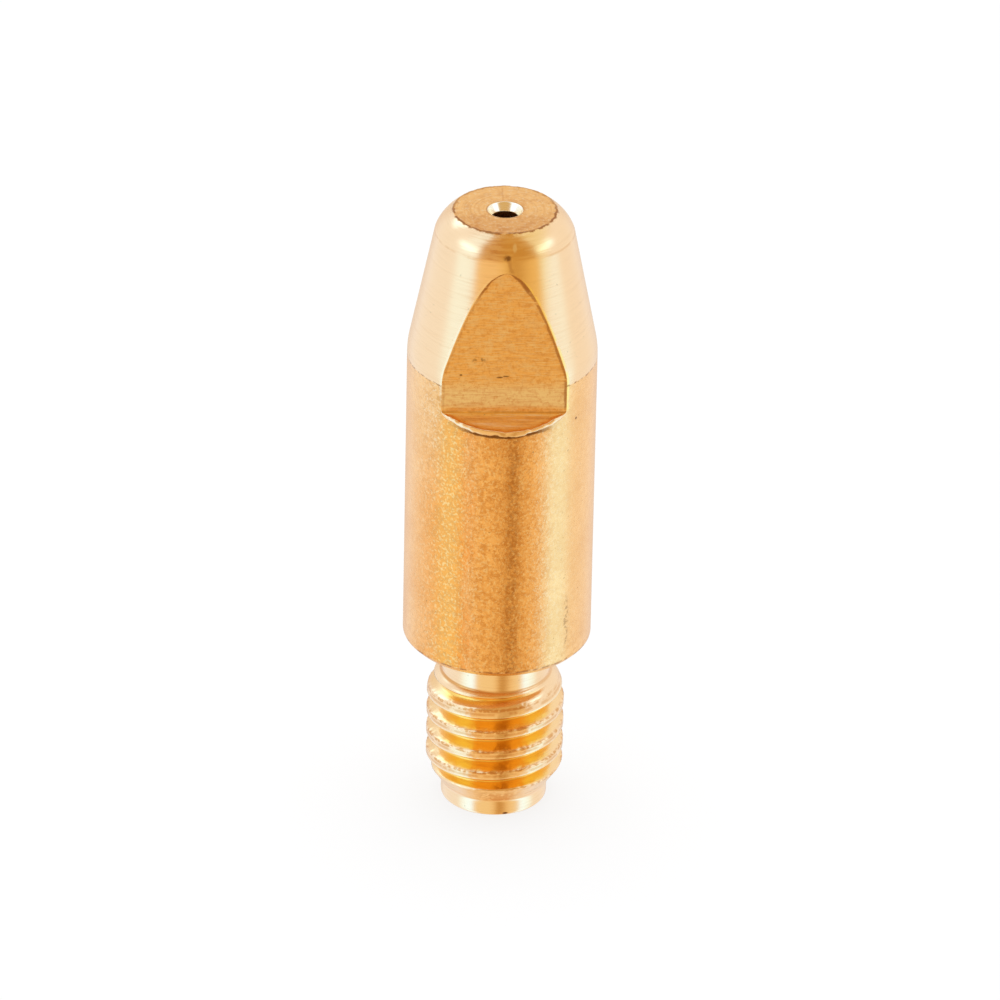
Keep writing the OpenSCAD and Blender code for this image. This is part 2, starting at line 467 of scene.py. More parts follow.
def skin_threaded_end(skin, tip, turn):
    """Funnel, end face and pilot. Returns the first and the last ring."""
    on_face = (tip.pilot_radius - END_FACE_JOIN, 0.0)
    funnel = eased(
        [
            (tip.bore_radius, tip.bore_low),
            (tip.bore_radius, tip.funnel_depth, 0.08),
            (tip.funnel_radius, 0.0, 0.05),
            on_face,
        ],
        spacing=0.5,
    )
    pilot = eased(
        [on_face, (tip.pilot_radius, 0.0, tip.pilot_edge), (tip.pilot_radius, tip.thread_low)],
        spacing=0.3,
    )
    first = skin.ring(tip.bore_radius, turn, tip.bore_low)
    ring = skin.run(first, turn, funnel[1:], lambda height: BORED if height > FACE_SLACK else FACED)
    last = skin.run(ring, turn, pilot[1:], lambda height: FACED if height < FACE_SLACK else TURNED)
    return first, last


# Places across one pitch, from the middle of the groove, where the thread has a row of points.
THREAD_ROWS = (0.018, 0.05, 0.085, 0.13, 0.18, 0.235, 0.275, 0.303, 0.33, 0.37, 0.43)
# Rows that come this close to the ring below or above end on it.
ROW_GAP = 1e-4


def skin_thread(skin, tip, turn, lower):
    """The helical thread, wound on rows that follow it. Returns the last ring, on the neck."""
    bottom, top, pitch = tip.thread_low, tip.thread_high, tip.thread_pitch
    upper = skin.ring(tip.neck_radius, turn, top)
    middle = tip.groove_height - 0.75 * pitch
    places = sorted([-place for place in THREAD_ROWS] + list(THREAD_ROWS) + [0.5])
    turns = range(int((bottom - middle) / pitch) - 3, int((top - middle) / pitch) + 3)
    starts = [middle + (number + place) * pitch for number in turns for place in places]
    starts = [start for start in starts if bottom - pitch + ROW_GAP < start < top - ROW_GAP]
    climb = pitch * np.arange(COLUMNS) / COLUMNS
    wound = {}
    for start in starts:
        height = start + climb
        inside = (height > bottom + ROW_GAP) & (height < top - ROW_GAP)
        numbers = np.where(height <= bottom + ROW_GAP, lower, upper)
        if inside.any():
            offset = (start - middle) / pitch + 0.5
            offset = (offset - math.floor(offset) - 0.5) * pitch
            radius = tip.thread_radius_at(offset, turn[inside], height[inside])
            numbers[inside] = skin.ring(radius, turn[inside], height[inside])
        wound[round(start, 5)] = numbers
    rows = [np.append(lower, lower[0])]
    for start in starts:
        next_turn = wound.get(round(start + pitch, 5), upper)
        rows.append(np.append(wound[round(start, 5)], next_turn[0]))
    rows.append(np.append(upper, upper[0]))
    for first, second in zip(rows, rows[1:]):
        skin.join(first, second, THREADED)
    return upper


def skin_body(skin, tip, turn, ring):
    """Neck, shoulder and the lower body."""
    seat = tip.shoulder_height
    on_seat = (tip.neck_radius + SEAT_JOIN, seat)
    neck = eased(
        [(tip.neck_radius, tip.thread_high), (tip.neck_radius, seat, 0.08), on_seat], spacing=0.4
    )
    shoulder = eased(
        [
            on_seat,
            (tip.body_radius - tip.shoulder_break, seat, 0.06),
            (tip.body_radius, seat + tip.shoulder_break, 0.07),
            (tip.body_radius, tip.body_low),
        ],
        spacing=0.4,
    )
    body = [(tip.body_radius, height) for height in np.linspace(tip.body_low, tip.body_high, 12)]
    ring = skin.run(ring, turn, neck[1:], lambda height: TURNED)
    ring = skin.run(ring, turn, shoulder[1:], lambda height: FACED if height < seat + FACE_SLACK else DRAWN)
    return skin.run(ring, turn, body[1:], lambda height: DRAWN)


# Rows of the burr that is rolled over a ledge's rim: the drop below the rim, and the shares of
# tear, reach and rise.
BURR_ROWS = (
    (0.27, 0.0, 0.0, 0.0),
    (0.17, 0.4, 0.0, 0.0),
    (0.125, 1.0, 0.02, 0.0),
    (0.1, 1.0, 0.6, 0.05),
    (0.065, 0.4, 0.92, 0.2),
    (0.03, 0.0, 1.0, 0.55),
    (0.01, 0.0, 0.85, 0.85),
    (0.0, 0.0, 0.5, 1.0),
)
BURR_FOOT = 0.11
BURR_REACH = 0.055
BURR_RISE = 0.1
# Rows of a ledge, as shares of its width from the flat to the rim.
LEDGE_SHARES = (
    0.985, 0.96, 0.925, 0.86, 0.75, 0.6, 0.44, 0.29, 0.18, 0.118, 0.079, 0.046, 0.021, 0.005, 0.0
)


def skin_ledges(skin, tip, ring):
    """Body below the flats, the burred rim of each ledge and the ledge itself."""
    turn = flat_turns(tip.body_edge)
    away = from_flat(turn)
    inside = columns_over_flats(FLAT_COLUMNS)
    over = faces_over_flats()
    rim_distance = np.where(inside, tip.body_radius * np.cos(away), tip.flat_distance)
    rim_distance = np.maximum(rim_distance, tip.flat_distance)
    rim = np.where(inside, tip.ledge_height(rim_distance), tip.fillet_top)
    fade = np.where(inside, np.clip((tip.body_edge - away) / 0.1, 0.0, 1.0), 0.0)
    swell = 0.85 + 0.7 * round_wander(turn, 8.0, 4) + 0.5 * round_wander(turn, 27.0, 5)
    swell = fade * np.clip(swell, 0.25, 1.4)
    ragged = 0.09 * round_wander(turn, 9.0, 8) + 0.07 * round_wander(turn, 24.0, 9)
    ragged = fade * np.clip(ragged, -0.07, 0.09)
    depth = 0.5 + 0.5 * np.clip(1 - (away / tip.body_edge) ** 2, 0.0, 1.0)
    foot = tip.body_high
    for part in (0.45, 0.8):
        height = foot + (rim - BURR_ROWS[0][0] - foot) * part
        ring = skin.grow(ring, tip.body_radius, turn, height, DRAWN)
    for drop, tear, reach, rise in BURR_ROWS:
        radius = tip.body_radius + BURR_REACH * swell * reach
        height = rim + (ragged * tear - drop) * depth + BURR_RISE * swell * rise
        finish = np.where(over, TURNED, DRAWN) if drop < BURR_FOOT else DRAWN
        ring = skin.grow(ring, radius, turn, height, finish)
    crest = ring
    between_edges = columns_over_flats(FLAT_COLUMNS - 1)
    for part in LEDGE_SHARES:
        distance = tip.flat_distance + (rim_distance - tip.flat_distance) * part
        lift = BURR_RISE * swell * np.exp(-(((rim_distance - distance) / 0.08) ** 2))
        height = (tip.ledge_height(distance) + lift)[between_edges]
        radius = (distance / np.cos(away))[between_edges]
        following = crest.copy()
        following[between_edges] = skin.ring(radius, turn[between_edges], height)
        skin.band(ring, following, np.where(over, TURNED if part > 0.9 else MILLED, DRAWN))
        ring = following
    return ring


# Near its apex a flat keeps at least this half angle of columns.
APEX_HOLD = math.radians(11)
# Below and above the bend from body to taper the rows stand closer, this far.
BEND_BELOW = 0.3
BEND_ABOVE = 0.45


def skin_nose(skin, tip, ring):
    """Flats and taper up to the crowned edge. Returns the last ring and its columns."""
    narrow_radius = tip.flat_distance / math.cos(APEX_HOLD)
    narrow = tip.taper_start + (tip.body_radius - narrow_radius) / tip.taper_slope
    past_apex = tip.apex + 0.06
    heights = np.concatenate(
        [
            tip.fillet_top + np.array([0.03, 0.1, 0.25, 0.5, 0.8]),
            tip.seam_height + np.array([-0.06, 0.0, 0.06]),
            tip.taper_start + np.linspace(-BEND_BELOW, BEND_ABOVE, 9),
            np.linspace(tip.taper_start + BEND_ABOVE, narrow, 23)[1:],
            np.linspace(narrow, past_apex, 12)[1:],
            np.linspace(past_apex, tip.taper_high, 4)[1:],
        ]
    )
    over = faces_over_flats()
    below = tip.fillet_top
    for height in heights:
        turn = flat_turns(max(APEX_HOLD, tip.flat_edge(height)))
        turned = tip.turned_radius(height)
        flat = tip.flat_distance / np.cos(np.minimum(from_flat(turn), 1.3))
        width = 0.04 * math.tan(max(math.radians(4), tip.flat_edge(height)))
        on_flat = over & (below < tip.apex)
        if height > narrow:
            on_flat = over & (np.maximum(flat, np.roll(flat, -1)) < turned)
        around = DRAWN if height < tip.seam_height + 0.01 else TURNED
        finish = np.where(on_flat, MILLED, around)
        ring = skin.grow(ring, soft_min(turned, flat, width), turn, height, finish)
        below = height
    return ring, turn


# The edge of the nose face: how uneven it is, the lip that stands on it, and how far both reach.
NOSE_EDGE_UNEVEN = 0.022
NOSE_LIP = 0.02
NOSE_LIP_REACH = 0.07


def skin_nose_face(skin, tip, turn, ring, first):
    """Crowned edge, nose face, countersink and the bore back to the funnel."""
    top = tip.overall_length
    mouth_end = top - tip.mouth_depth
    on_face = (tip.mouth_radius + MOUTH_JOIN, top)
    arc = tip.nose_edge(11)
    outline = eased(
        [(float(tip.turned_radius(tip.taper_high)), tip.taper_high), (*arc[0], 0.04)]
        + arc[1:-1]
        + [(*arc[-1], 0.03), on_face],
        spacing=0.3,
    )
    even = even_turns()
    uneven = 0.6 * round_wander(even, 7.0, 6) + 0.5 * round_wander(even, 21.0, 7)
    burr = np.clip(0.4 + uneven, 0.0, 1.2)
    for number, (radius, height) in enumerate(outline[1:]):
        here = turn + (even - turn) * min(1.0, number / 10)
        near_edge = max(0.0, 1 - abs(radius - tip.nose_face_radius) / NOSE_LIP_REACH)
        lip = NOSE_LIP * burr * near_edge if height > top - FACE_SLACK else 0.0
        finish = FACED if height > top - NOSE_FACE_SLACK else TURNED
        ring = skin.grow(ring, radius + NOSE_EDGE_UNEVEN * uneven * near_edge, here, height + lip, finish)

    def mouth_finish(height):
        if height > top - NOSE_FACE_SLACK:
            return FACED
        return MOUTH if height > mouth_end - FACE_SLACK else BORED

    mouth = eased(
        [
            on_face,
            (tip.mouth_radius, top, 0.03),
            (tip.bore_radius, mouth_end, 0.03),
            (tip.bore_radius, tip.bore_high),
        ],
        spacing=0.12,
    )
    bore = [(tip.bore_radius, height) for height in np.linspace(tip.bore_high, tip.bore_low, 10)]
    ring = skin.run(ring, even, mouth[1:], mouth_finish)
    ring = skin.run(ring, even, bore[1:-1], lambda height: BORED)
    skin.band(ring, first, BORED)


def tip_mesh(tip):
    """The whole tip as one closed mesh."""
    skin = Skin()
    turn = even_turns()
    first, ring = skin_threaded_end(skin, tip, turn)
    ring = skin_thread(skin, tip, turn, ring)
    ring = skin_body(skin, tip, turn, ring)
    ring = skin_ledges(skin, tip, ring)
    ring, turn = skin_nose(skin, tip, ring)
    skin_nose_face(skin, tip, turn, ring, first)
    mesh = bpy.data.meshes.new("contact_tip_turned")
    mesh.from_pydata((np.array(skin.points) * MM).tolist(), [], skin.faces)
    mesh.polygons.foreach_set("material_index", skin.finishes)
    mesh.shade_smooth()
    mesh.update()
    return mesh


def operator_pair(operation):
    """An operator on amounts and its reflected form, as Math nodes."""

    def plain(self, other):
        return self.graph.math(operation, self, other)

    def reflected(self, other):
        return self.graph.math(operation, other, self)

    return plain, reflected


class Amount:
    """A shader value that takes part in plain sums"""

    def __init__(self, graph, socket):
        self.graph = graph
        self.socket = socket

    __add__, __radd__ = operator_pair("ADD")
    __sub__, __rsub__ = operator_pair("SUBTRACT")
    __mul__, __rmul__ = operator_pair("MULTIPLY")
    __truediv__, __rtruediv__ = operator_pair("DIVIDE")
    __pow__, __rpow__ = operator_pair("POWER")

    def __abs__(self):
        return self.graph.math("ABSOLUTE", self)

    def at_least(self, other):
        return self.graph.math("MAXIMUM", self, other)

    def at_most(self, other):
        return self.graph.math("MINIMUM", self, other)

    def ramp(self, start, end):
        """Goes smoothly from 0 where this is at start to 1 where it is at end."""
        sockets = {0: self, 1: start, 2: end, 3: 0.0, 4: 1.0}
        made = self.graph.node("ShaderNodeMapRange", {"interpolation_type": "SMOOTHSTEP"}, sockets)
        return Amount(self.graph, made.outputs[0])

    def line(self, middle, core, reach):
        """1 within the core beside a middle, falling to 0 at the reach."""
        return 1 - abs(self - middle).ramp(core, reach)


def most(highest, *others):
    """The highest of several amounts."""
    for other in others:
        highest = highest.at_least(other)
    return highest


class Graph:
    """The nodes of one material or of the world"""

    def __init__(self, owner):
        owner.use_nodes = True
        self.tree = owner.node_tree
        self.tree.nodes.clear()

    def node(self, kind, settings=None, sockets=None):
        """Adds a node: its settings first, then the values or links of its sockets."""
        made = self.tree.nodes.new(kind)
        for name, value in (settings or {}).items():
            setattr(made, name, value)
        for name, value in (sockets or {}).items():
            value = getattr(value, "socket", value)
            if isinstance(value, bpy.types.NodeSocket):
                self.tree.links.new(value, made.inputs[name])
            else:
                made.inputs[name].default_value = value
        return made

    def math(self, operation, first, second=0.0):
        """The result of a Math node."""
        made = self.node("ShaderNodeMath", {"operation": operation}, {0: first, 1: second})
        return Amount(self, made.outputs[0])

    def vector(self, operation, first, second):
        """A vector worked out from two others."""
        made = self.node("ShaderNodeVectorMath", {"operation": operation}, {0: first, 1: second})
        return made.outputs[0]

    def mix(self, part, first, second):
        """Mixes two colours."""
        made = self.node("ShaderNodeMix", {"data_type": "RGBA"}, {0: part, 6: first, 7: second})
        return made.outputs[2]

    def layers(self, base, *coats):
        """Lays coats over a base colour, each an amount and a colour."""
        for amount, coat in coats:
            base = self.mix(amount, base, coat)
        return base

    def noise(self, vector, density, detail, roughness=0.5):
        """Soft noise from 0 to 1."""
        sockets = {"Vector": vector, "Scale": density, "Detail": detail, "Roughness": roughness}
        return Amount(self, self.node("ShaderNodeTexNoise", None, sockets).outputs[0])

    def parts(self, vector):
        """The three parts of a vector."""
        made = self.node("ShaderNodeSeparateXYZ", None, {0: vector})
        return [Amount(self, socket) for socket in made.outputs]

    def turn(self, x, y):
        """Angle round the upright axis, 0 in front and rising to the right, in radians."""
        return self.math("ARCTAN2", x, -1.0 * y)

    def millimetres(self):
        """Where a point of the object is, in millimetres."""
        made = self.node("ShaderNodeTexCoord")
        return self.vector("MULTIPLY", made.outputs["Object"], (1 / MM,) * 3)


def opaque(colour_value):
    """A colour as a shader socket takes it."""
    return (*colour_value, 1.0)


# How far the ledges' yellow goes over to the colour of the stain.
LEDGE_STAIN = 0.45


class TipLook:
    """Colours of the bare copper as shader sockets take them, and its gloss"""

    def __init__(self, finishes):
        for name in TipFinishes.__annotations__:
            value = getattr(finishes, name)
            setattr(self, name, value if isinstance(value, float) else opaque(value))
        pairs = zip(self.edge_copper, self.stained_copper)
        self.ledge_copper = tuple(edge + (stained - edge) * LEDGE_STAIN for edge, stained in pairs)


# Single marks that the front of the tip carries, and one painted highlight: middle and reach along
# X, Y and Z, in millimetres.
SPECK_CHAIN = (2.8, -2.85, 9.9), (0.17, 0.2, 1.6)
TARNISH_DRIPS = (-2.7, -2.95, 20.6), (0.22, 0.3, 0.7)
BODY_PIT = (3.04, -2.6, 19.55), (0.08, 0.08, 0.08)
# NOSE_GLEAM places a painted highlight on the front of the crowned edge.
NOSE_GLEAM = (0.33, -2.6, 27.55), (0.12, 0.4, 0.22)
NOSE_NICK = (0.02, -2.86, 27.2), (0.22, 0.3, 0.15)
PILOT_DENT = (0.44, -2.22, 0.1), (0.15, 0.2, 0.07)
# Nicks in the front flat: middle along X and Z, and reach along X and Z.
FLAT_NICKS = (
    (-0.2, 21.69, 0.18, 0.05),
    (0.06, 21.74, 0.17, 0.045),
    (-1.82, 21.8, 0.07, 0.06),
)
FLAT_SCUFF = (-1.08, 22.47, 0.34, 0.2)
NICK_DEPTH = 0.3
# The strip of the turned neck and pilot that is left out of their painted highlight and stays darker in
# front, to the right of the middle.
DARK_STRIP = 0.25
# Heights between which the darker, broken band on the lead taper ends, the stain fades on the left, the
# flat's pale foot ends, the nose begins and the nose face begins.
LEAD_BAND_END = 1.2, 1.5
STAIN_FADE = 15.0, 20.5
PALE_FOOT_END = 20.9, 21.7
NOSE_BEGIN = 20.0, 21.0
NOSE_FACE_BEGIN = 27.0, 27.5
# The slanted scratch on the crowned edge: how far it leans, a point of it along X and Z, and the
# height of its middle.
SCRATCH_LEAN = 0.3
SCRATCH_POINT = 0.05, 27.2
SCRATCH_HEIGHT = 26.95
BORE_ROUGHNESS = 0.35


class CopperFinish(Graph):
    """The nodes of one bare copper finish

    Each finish has a method that gives its colour, its roughness and its height in millimetres."""

    def __init__(self, material, look, tip):
        super().__init__(material)
        self.look = look
        self.tip = tip
        self.place = self.millimetres()
        self.x, self.y, self.z = self.parts(self.place)

    def grain(self, density, detail, roughness=0.5):
        """Soft noise from 0 to 1, with so many grains to a millimetre, all ways or along each axis."""
        if isinstance(density, tuple):
            return self.noise(self.vector("MULTIPLY", self.place, density), 1.0, detail, roughness)
        return self.noise(self.place, density, detail, roughness)

    def wobble(self, size, density, detail):
        """Shifts an edge unevenly, over a size in millimetres."""
        return size * (self.grain(density, detail) - 0.5)

    def broken(self, density, amount):
        """Breaks a line up into specks."""
        return self.grain(density, 3.0).ramp(amount - 0.08, amount + 0.08)

    def spot(self, mark):
        """1 in the middle of a mark, falling to 0 at its reach along each axis."""
        middle, reach = mark
        shift = self.vector("SUBTRACT", self.place, middle)
        scaled = self.vector("MULTIPLY", shift, tuple(1 / part for part in reach))
        far = self.node("ShaderNodeVectorMath", {"operation": "LENGTH"}, {0: scaled})
        return 1 - Amount(self, far.outputs["Value"]).ramp(0.45, 1.0)

    def flat_spot(self, x, z, reach_x, reach_z):
        """A spot on the front flat."""
        return self.spot(((x, -self.tip.flat_distance, z), (reach_x, NICK_DEPTH, reach_z)))

    def from_axis(self):
        """Distance from the tip's axis."""
        return (self.x * self.x + self.y * self.y) ** 0.5

    def right_of_flat(self):
        """1 to the right of a flat's middle, seen from outside."""
        return (self.x * self.y).ramp(-0.3, -1.2)

    def seam(self):
        """The speckled line where the turned nose begins."""
        height = self.z + self.wobble(0.12, 2.2, 2.0)
        return height.line(self.tip.seam_height, 0.012, 0.06) * self.broken(4.5, 0.5)

    def nose_burr(self):
        """The brown, torn edge of the nose face, strongest in front, where the extra darkness is painted
        shade under its lip.
        """
        tip = self.tip
        radius = self.from_axis() + self.wobble(0.2, 4.0, 3.0)
        ring = radius.line(tip.nose_face_radius - 0.03, 0.02, 0.09)
        ring = ring * (0.5 + 0.5 * self.y.ramp(0.9, -0.6)) * self.broken(3.0, 0.4)
        return ring * self.z.ramp(tip.taper_end + 0.65, tip.taper_end + 0.8)

    def flat_rim(self):
        """Two coats of painted highlight along the broken edge of the flats: yellow on the right, paler on
        the left.
        """
        look, tip = self.look, self.tip
        away = (tip.flat_distance - abs(self.y)) / (abs(self.x) / tip.body_radius + 0.02)
        rim = away.line(0.05, 0.03, 0.1) * abs(self.x).ramp(0.5, 1.0)
        rim = rim * self.z.ramp(tip.fillet_top - 0.1, tip.fillet_top + 0.1) * self.broken(2.4, 0.4)
        right = self.right_of_flat()
        return (rim * right * 0.8, look.edge_copper), (rim * (1 - right) * 0.4, look.rubbed_copper)

    def turned_skin(self):
        """Fine lines left by the turning tool, with neck and pilot painted paler as a painted highlight
        beside their dark strip.
        """
        look, tip, x, z = self.look, self.tip, self.x, self.z
        streaks = self.grain((0.5, 0.5, 14.0), 3.0, 0.6)
        fine = self.grain((0.9, 0.9, 28.0), 1.0)
        in_front = x.line(0.0, 0.7, 2.3)
        # Neck and pilot are painted paler, a painted highlight, except on their dark strip.
        neck = z.line(tip.shoulder_height - tip.neck_length / 2, 0.8, 0.95)
        ends = most(neck, z.ramp(tip.pilot_length + 0.05, tip.pilot_length - 0.05))
        ends = ends * abs(x - DARK_STRIP).ramp(0.1, 0.6) * abs(x).ramp(1.6, 1.0)
        base = self.layers(
            look.turned_copper,
            (streaks.ramp(0.47, 0.72) * (0.1 + 0.2 * in_front), look.tarnish),
            (fine.ramp(0.5, 0.8) * (0.1 + 0.15 * in_front), look.rubbed_copper),
            (ends * 0.45, look.mouth_copper),
        )
        return base, look.turned_roughness - 0.05 + 0.14 * streaks, streaks * 0.004 + fine * 0.001

    def bar_stain(self):
        """The warm stain down the left of the drawn bar."""
        across = self.x + self.wobble(0.8, 0.5, 2.0)
        stain = across.ramp(-4.2, -2.4) * across.ramp(-1.05, -1.8) * self.y.ramp(0.5, -0.8)
        return stain * (1 - self.z.ramp(*STAIN_FADE) * across.ramp(-2.2, -2.9))

    def under_ledges(self):
        """Painted shade in the undercut below each ledge's burr, and speckled tarnish on the bar below
        that, darker near the ledge as painted shade.
        """
        tip = self.tip
        slope = math.tan(tip.ledge_angle)
        below_rim = tip.flat_end - self.z - slope * (abs(self.y) - tip.flat_distance)
        below_rim = below_rim + self.wobble(0.22, 3.0, 3.0)
        at_ledge = abs(self.y).ramp(tip.flat_distance + 0.15, tip.flat_distance + 0.5)
        # Painted shade: a dark broken line under the burr, where it overhangs.
        undercut_shade = below_rim.line(0.15, 0.06, 0.14) * at_ledge * self.broken(1.7, 0.36)
        undercut_shade = undercut_shade * (0.2 + 0.8 * abs(self.x).line(0.3, 0.9, 1.9))
        # Speckled tarnish, darkest just below the ledge and fading downward; the darkening is painted
        # shade.
        shaded_speckles_below = (1 - below_rim.ramp(0.3, 1.7)) * at_ledge * self.broken(2.6, 0.5)
        return undercut_shade, shaded_speckles_below

    def drawn_bar(self):
        """Grainy skin of the drawn bar, stained, streaked and specked in front, with painted shade below
        the ledges and painted highlight and reflection on its edges.
        """
        look, tip, x, y, z = self.look, self.tip, self.x, self.y, self.z
        seat = tip.shoulder_height
        grain = self.grain(4.2, 4.0, 0.75)
        fine = self.grain(9.0, 3.0, 0.6)
        blotches = self.grain(3.4, 4.0, 0.75).ramp(0.47, 0.6)
        clouds = self.grain(0.5, 3.0).ramp(0.4, 0.64)
        specks = self.grain(8.0, 2.0).ramp(0.66, 0.78) * self.grain(1.1, 2.0).ramp(0.42, 0.6)
        stain = self.bar_stain()
        undercut_shade, shaded_speckles_below = self.under_ledges()
        in_front = y.ramp(0.0, -2.0)
        middle = x.line(-0.15, 0.5, 1.6) * in_front
        # A broken dark streak down the front, just right of the middle.
        dark_front_streak = (x + self.wobble(0.3, 0.8, 2.0)).line(0.44, 0.06, 0.42) * in_front * self.broken(6.5, 0.49)
        grainy = x.line(-0.7, 1.9, 3.2) * y.ramp(0.0, -1.5) + 0.4
        corner = seat + tip.shoulder_break + self.wobble(0.14, 2.0, 3.0)
        foot = z.line(corner, 0.025, 0.1) * self.broken(3.5, 0.49)
        low = 1 - z.ramp(seat + 0.4, seat + 3.0)
        # The shoulder's break face is painted yellower, partly as painted reflection of the warm ground
        # below.
        break_face = 1 - z.ramp(seat + 0.2, seat + 0.3)
        patches = blotches * (0.14 + 0.4 * most(middle, low * 0.6))
        flecks = fine.ramp(0.5, 0.64) * grainy * (0.35 - 0.05 * stain)
        chain = self.spot(SPECK_CHAIN) * self.broken(6.0, 0.52)
        drips = self.spot(TARNISH_DRIPS) * self.broken(5.0, 0.5)
        base = self.layers(
            look.drawn_copper,
            (stain, look.stained_copper),
            (most(clouds * 0.2, shaded_speckles_below * 0.6, patches), look.tarnish),
            (grain.ramp(0.46, 0.6) * (0.38 * grainy + 0.15 * middle), look.tarnish),
            (flecks, self.mix(stain * 0.6, look.rubbed_copper, look.edge_copper)),
            (dark_front_streak * 0.4, look.burnt_edge),
            (break_face * 0.5, look.edge_copper),
            *self.flat_rim(),
            (drips * 0.7, look.tarnish),
            (most(foot * 0.8, self.seam() * 0.75), look.burnt_edge),
            (most(specks * 0.5, undercut_shade * 0.9, chain * 0.42, self.spot(BODY_PIT) * 0.8), look.soot),
        )
        height = (grain * 0.012 + fine * 0.005) * grainy * (1 - 0.3 * stain)
        return base, look.drawn_roughness - 0.07 + 0.14 * grain, height

    def turned_taper(self):
        """Turned nose, neck, pilot and ledge burrs, with the marks on the crowned edge, painted highlights
        and a painted shade patch in front.
        """
        look, tip, x, z = self.look, self.tip, self.x, self.z
        base, roughness, height = self.turned_skin()
        in_front = self.y.ramp(0.0, -1.0)
        specks = self.grain(6.0, 2.0).ramp(0.7, 0.8)
        step = z.line(tip.taper_end, 0.015, 0.07) * self.broken(1.6, 0.46)
        crowned = self.broken((1.2, 1.2, 7.0), 0.5) * z.ramp(tip.taper_end, tip.taper_end + 0.1)
        crowned = crowned * x.line(0.1, 0.5, 1.3) * in_front
        scratch_x, scratch_z = SCRATCH_POINT
        slanted = x + SCRATCH_LEAN * (z - scratch_z) - scratch_x + self.wobble(0.12, 4.0, 2.0)
        # The slanted scratch on the crowned edge.
        thin_line = slanted.line(0.0, 0.0, 0.15) * in_front
        thin_line = thin_line * z.line(SCRATCH_HEIGHT, 0.25, 0.5) * self.broken(3.0, 0.45)
        nick = self.spot(NOSE_NICK) * (0.4 + 0.6 * self.broken(5.0, 0.46))
        # Painted shade: a warmer, darker patch on the front of the taper, right of the middle.
        warm = x.line(0.7, 0.5, 1.3) * in_front * z.ramp(*NOSE_BEGIN)
        base = self.layers(
            base,
            (most(step * 0.3, crowned * 0.6), look.tarnish),
            (warm * 0.5, look.edge_copper),
            (warm * 0.25, look.tarnish),
            *self.flat_rim(),
            # Painted highlight on the crowned edge.
            (self.spot(NOSE_GLEAM) * 0.7, look.rubbed_copper),
            (most(self.nose_burr(), self.seam() * 0.75, thin_line * 0.35), look.burnt_edge),
            (most(specks * 0.3, nick * 0.7, self.spot(PILOT_DENT) * 0.95), look.soot),
        )
        return base, roughness, height

    def flat_border(self):
        """The brown, broken border just inside a flat's curved edge."""
        tip, x, z = self.tip, self.x, self.z
        taper = tip.body_radius - (z - tip.taper_start) * tip.taper_slope
        outer = taper.at_most(tip.body_radius)
        half_width = (outer * outer - tip.flat_distance**2).at_least(0.0) ** 0.5
        inside = half_width - abs(x) + self.wobble(0.16, 3.0, 3.0)
        right = self.right_of_flat()
        near_apex = z.ramp(tip.apex - 1.6, tip.apex - 0.7)
        heavy = near_apex * right
        edge = inside.line(0.05, 0.03 + 0.06 * heavy, 0.1 + 0.1 * heavy)
        edge = edge * most(0.3 + 0.45 * right, near_apex)
        return edge * z.ramp(tip.fillet_top, tip.fillet_top + 0.2) * self.broken(2.6, 0.36)

    def milled_flat(self):
        """Milled flats with fine streaks across them, and the warmer ledges at their foot."""
        look, tip, z = self.look, self.tip, self.z
        streaks = self.grain((1.0, 6.0, 12.0), 4.0, 0.7)
        hairlines = self.grain((2.2, 12.0, 20.0), 2.0)
        grain = self.grain(5.0, 3.0, 0.75)
        mottled = self.grain(2.0, 4.0, 0.7)
        shelf = self.grain((0.5, 9.0, 9.0), 3.0, 0.6)
        specks = self.grain((6.0, 6.0, 9.6), 2.0).ramp(0.69, 0.8)
        on_ledge = 1 - z.ramp(tip.fillet_top - 0.1, tip.fillet_top)
        on_flat = 1 - on_ledge
        pale = z.ramp(tip.fillet_top, tip.fillet_top + 0.3) * (1 - z.ramp(*PALE_FOOT_END))
        corner = z.line(tip.flat_end + 0.07, 0.02, 0.06) * self.broken(1.6, 0.42)
        scuff = self.flat_spot(*FLAT_SCUFF) * self.broken(4.0, 0.52)
        nicks = most(*(self.flat_spot(*nick) for nick in FLAT_NICKS), scuff)
        base = self.layers(
            look.milled_copper,
            (on_ledge, look.ledge_copper),
            (pale, look.rubbed_copper),
            (streaks.ramp(0.46, 0.62) * 0.4 * on_flat, look.tarnish),
            (grain.ramp(0.46, 0.64) * (0.45 - 0.15 * on_ledge), look.tarnish),
            (hairlines.ramp(0.5, 0.66) * 0.45 * on_flat, look.rubbed_copper),
            (mottled.ramp(0.48, 0.62) * 0.3 * on_flat, look.rubbed_copper),
            (shelf.ramp(0.52, 0.66) * 0.35 * on_ledge, look.rubbed_copper),
            (shelf.ramp(0.48, 0.36) * 0.5 * on_ledge, look.tarnish),
            (corner * 0.35, look.burnt_edge),
            (self.flat_border() * 0.85, look.burnt_edge),
            (most(specks * 0.4, nicks * 0.75), look.soot),
        )
        roughness = look.milled_roughness - 0.06 + 0.14 * streaks
        return base, roughness, streaks * 0.007 + hairlines * 0.003 + grain * 0.009

    def faced_end(self):
        """Faces of nose, shoulder and threaded end, with the rings of the facing tool and a painted
        reflection line on the nose face.
        """
        look, tip, x, y = self.look, self.tip, self.x, self.y
        from_axis = self.from_axis()
        rings = {0: from_axis * 14.0, 1: x * 0.4, 2: y * 0.4}
        marks = self.noise(self.node("ShaderNodeCombineXYZ", None, rings).outputs[0], 1.0, 3.0, 0.6)
        grain = self.grain(6.0, 3.0, 0.7)
